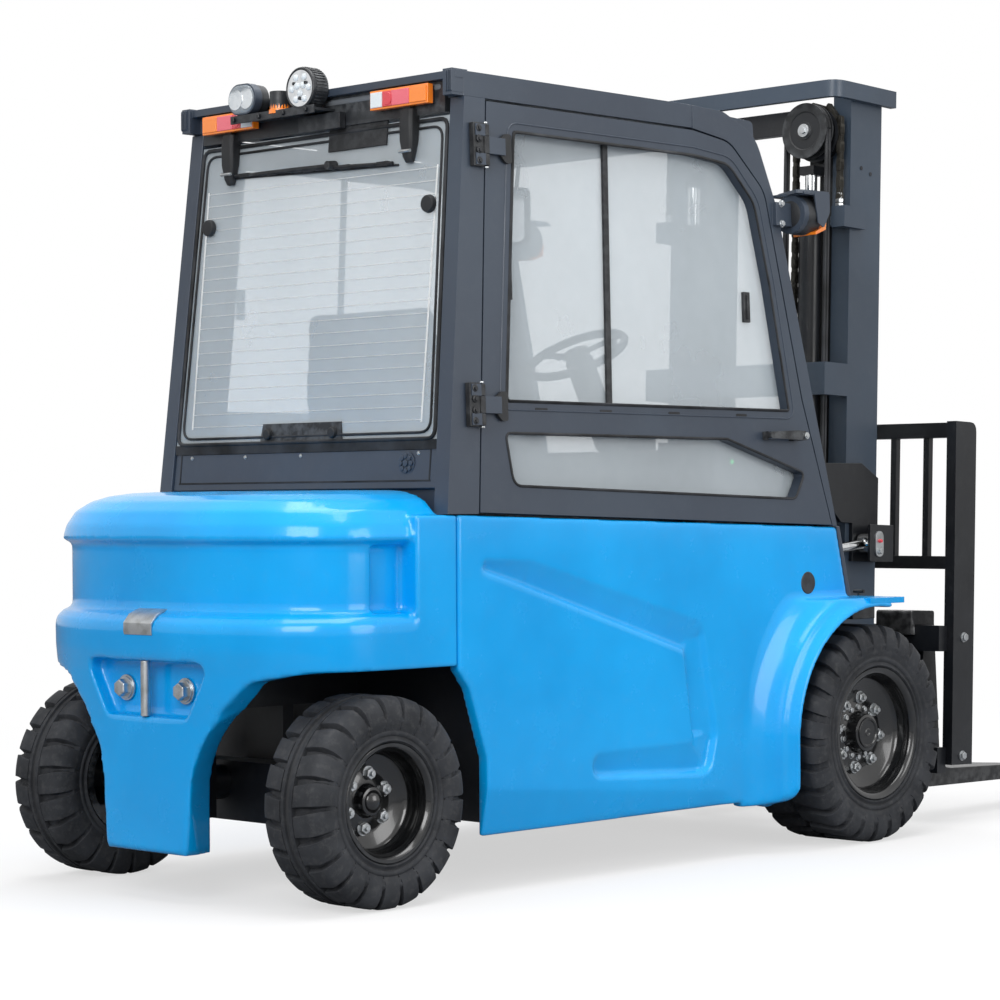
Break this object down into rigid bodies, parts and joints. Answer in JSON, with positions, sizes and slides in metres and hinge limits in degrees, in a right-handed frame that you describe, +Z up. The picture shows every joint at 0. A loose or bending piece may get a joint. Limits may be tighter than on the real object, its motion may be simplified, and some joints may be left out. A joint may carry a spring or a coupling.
{
  "type": "four-wheel electric counterbalance forklift with cab",
  "caption": "Electric counterbalance forklift with a closed cab, two-stage lift mast, fork carriage with load backrest, and steered rear wheels.",
  "frame": {"origin": "middle of the footprint on the floor: bottom centre of the bounding box", "axes": "+X forward over the forks, +Y to the driver's left, +Z up"},
  "size_m": [4.125, 1.48, 2.5327],
  "materials": {
    "body_blue": "gloss sky-blue paint",
    "cab_grey": "satin dark blue-grey paint",
    "frame_black": "satin black paint",
    "rim_black": "gloss black paint",
    "tyre": "solid rubber tyre",
    "window": "clear safety glass",
    "steel": "zinc-plated steel",
    "chrome": "hard-chromed rod",
    "seat_vinyl": "grey vinyl",
    "trim": "black grained plastic",
    "hose_rubber": "black hydraulic hose"
  },
  "bodies": {
    "chassis": {"counterweight": "body_blue", "tow_pin": "steel", "side_panel_R": "body_blue", "side_panel_L": "body_blue", "chassis_frame": "frame_black", "battery_block": "frame_black", "cab_floor": "frame_black", "rear_wall": "cab_grey", "rear_pillar_R": "cab_grey", "rear_pillar_L": "cab_grey", "front_pillar_R": "cab_grey", "front_pillar_L": "cab_grey", "roof": "cab_grey", "rear_window": "window", "windscreen": "window", "rear_lamp_bar": "trim", "dashboard": "trim", "steering_column": "trim", "seat_base": "trim", "seat_cushion": "seat_vinyl", "seat_back": "seat_vinyl", "drive_axle": "frame_black", "steer_axle": "frame_black"},
    "front_wheel_R": {"front_tyre_R": "tyre", "front_rim_R": "rim_black"},
    "front_wheel_L": {"front_tyre_L": "tyre", "front_rim_L": "rim_black"},
    "knuckle_R": {"knuckle_R": "frame_black"},
    "knuckle_L": {"knuckle_L": "frame_black"},
    "rear_wheel_R": {"rear_tyre_R": "tyre", "rear_rim_R": "rim_black"},
    "rear_wheel_L": {"rear_tyre_L": "tyre", "rear_rim_L": "rim_black"},
    "door_R": {"door_R": "cab_grey", "door_glass_R": "window"},
    "door_L": {"door_L": "cab_grey", "door_glass_L": "window"},
    "steering_wheel": {"steering_wheel": "trim"},
    "mast": {"outer_mast": "frame_black", "tilt_bracket_R": "frame_black", "tilt_bracket_L": "frame_black", "lift_barrel_R": "frame_black", "lift_barrel_L": "frame_black"},
    "inner_stage": {"inner_mast": "frame_black", "lift_rod_R": "chrome", "lift_rod_L": "chrome", "chain_R": "steel", "chain_L": "steel", "mast_hoses": "hose_rubber"},
    "carriage": {"carriage": "frame_black", "backrest": "frame_black", "fork_R": "frame_black", "fork_L": "frame_black"},
    "tilt_barrel_R": {"tilt_barrel_R": "frame_black"},
    "tilt_barrel_L": {"tilt_barrel_L": "frame_black"},
    "tilt_rod_R": {"tilt_rod_R": "chrome"},
    "tilt_rod_L": {"tilt_rod_L": "chrome"}
  },
  "joints": [
    {"name": "front_wheel_R_roll", "type": "hinge", "parent": "chassis", "child": "front_wheel_R", "pos_m": [0.40253, -0.59, 0.353], "axis": [0, 1, 0], "continuous": true},
    {"name": "front_wheel_L_roll", "type": "hinge", "parent": "chassis", "child": "front_wheel_L", "pos_m": [0.40253, 0.59, 0.353], "axis": [0, 1, 0], "continuous": true},
    {"name": "steer_R", "type": "hinge", "parent": "chassis", "child": "knuckle_R", "pos_m": [-1.71747, -0.4, 0.292], "axis": [0, 0, 1], "range_deg": [-70, 70]},
    {"name": "steer_L", "type": "hinge", "parent": "chassis", "child": "knuckle_L", "pos_m": [-1.71747, 0.4, 0.292], "axis": [0, 0, 1], "range_deg": [-70, 70]},
    {"name": "rear_wheel_R_roll", "type": "hinge", "parent": "knuckle_R", "child": "rear_wheel_R", "pos_m": [-1.71747, -0.5625, 0.292], "axis": [0, 1, 0], "continuous": true},
    {"name": "rear_wheel_L_roll", "type": "hinge", "parent": "knuckle_L", "child": "rear_wheel_L", "pos_m": [-1.71747, 0.5625, 0.292], "axis": [0, 1, 0], "continuous": true},
    {"name": "door_R_hinge", "type": "hinge", "parent": "chassis", "child": "door_R", "pos_m": [-1.33419, -0.64371, 1.38529], "axis": [-0.0621, -0.0331, -0.9975], "range_deg": [0, 85]},
    {"name": "door_L_hinge", "type": "hinge", "parent": "chassis", "child": "door_L", "pos_m": [-1.33419, 0.64371, 1.38529], "axis": [0.0621, -0.0331, 0.9975], "range_deg": [0, 85]},
    {"name": "steering_wheel_turn", "type": "hinge", "parent": "chassis", "child": "steering_wheel", "pos_m": [-0.23747, 0, 1.59], "axis": [-0.4695, 0, 0.8829], "continuous": true},
    {"name": "mast_tilt", "type": "hinge", "parent": "chassis", "child": "mast", "pos_m": [0.40253, 0, 0.353], "axis": [0, 1, 0], "range_deg": [-12, 4]},
    {"name": "inner_lift", "type": "slide", "parent": "mast", "child": "inner_stage", "axis": [0.0349, 0, 0.9994], "range_m": [-0.03, 1.52], "deforming": ["chain_R", "chain_L", "mast_hoses"]},
    {"name": "carriage_lift", "type": "slide", "parent": "inner_stage", "child": "carriage", "axis": [0.0349, 0, 0.9994], "range_m": [-0.031, 1.521]},
    {"name": "tilt_barrel_R_swing", "type": "hinge", "parent": "chassis", "child": "tilt_barrel_R", "pos_m": [-0.19747, -0.445, 0.87], "axis": [0, 1, 0], "range_deg": [-5.4, 2.2]},
    {"name": "tilt_rod_R_slide", "type": "slide", "parent": "tilt_barrel_R", "child": "tilt_rod_R", "axis": [0.9948, 0, 0.1016], "range_m": [-0.132, 0.05]},
    {"name": "tilt_barrel_L_swing", "type": "hinge", "parent": "chassis", "child": "tilt_barrel_L", "pos_m": [-0.19747, 0.445, 0.87], "axis": [0, 1, 0], "range_deg": [-5.4, 2.2]},
    {"name": "tilt_rod_L_slide", "type": "slide", "parent": "tilt_barrel_L", "child": "tilt_rod_L", "axis": [0.9948, 0, 0.1016], "range_m": [-0.132, 0.05]}
  ],
  "couplings": [
    {"joint": "steer_L", "follows": "steer_R", "ratio": 1},
    {"joint": "carriage_lift", "follows": "inner_lift", "ratio": 1},
    {"joint": "tilt_barrel_R_swing", "follows": "mast_tilt", "ratio": 0.4089},
    {"joint": "tilt_rod_R_slide", "follows": "mast_tilt", "m_per_rad": 0.5918},
    {"joint": "tilt_barrel_L_swing", "follows": "mast_tilt", "ratio": 0.4089},
    {"joint": "tilt_rod_L_slide", "follows": "mast_tilt", "m_per_rad": 0.5918}
  ]
}
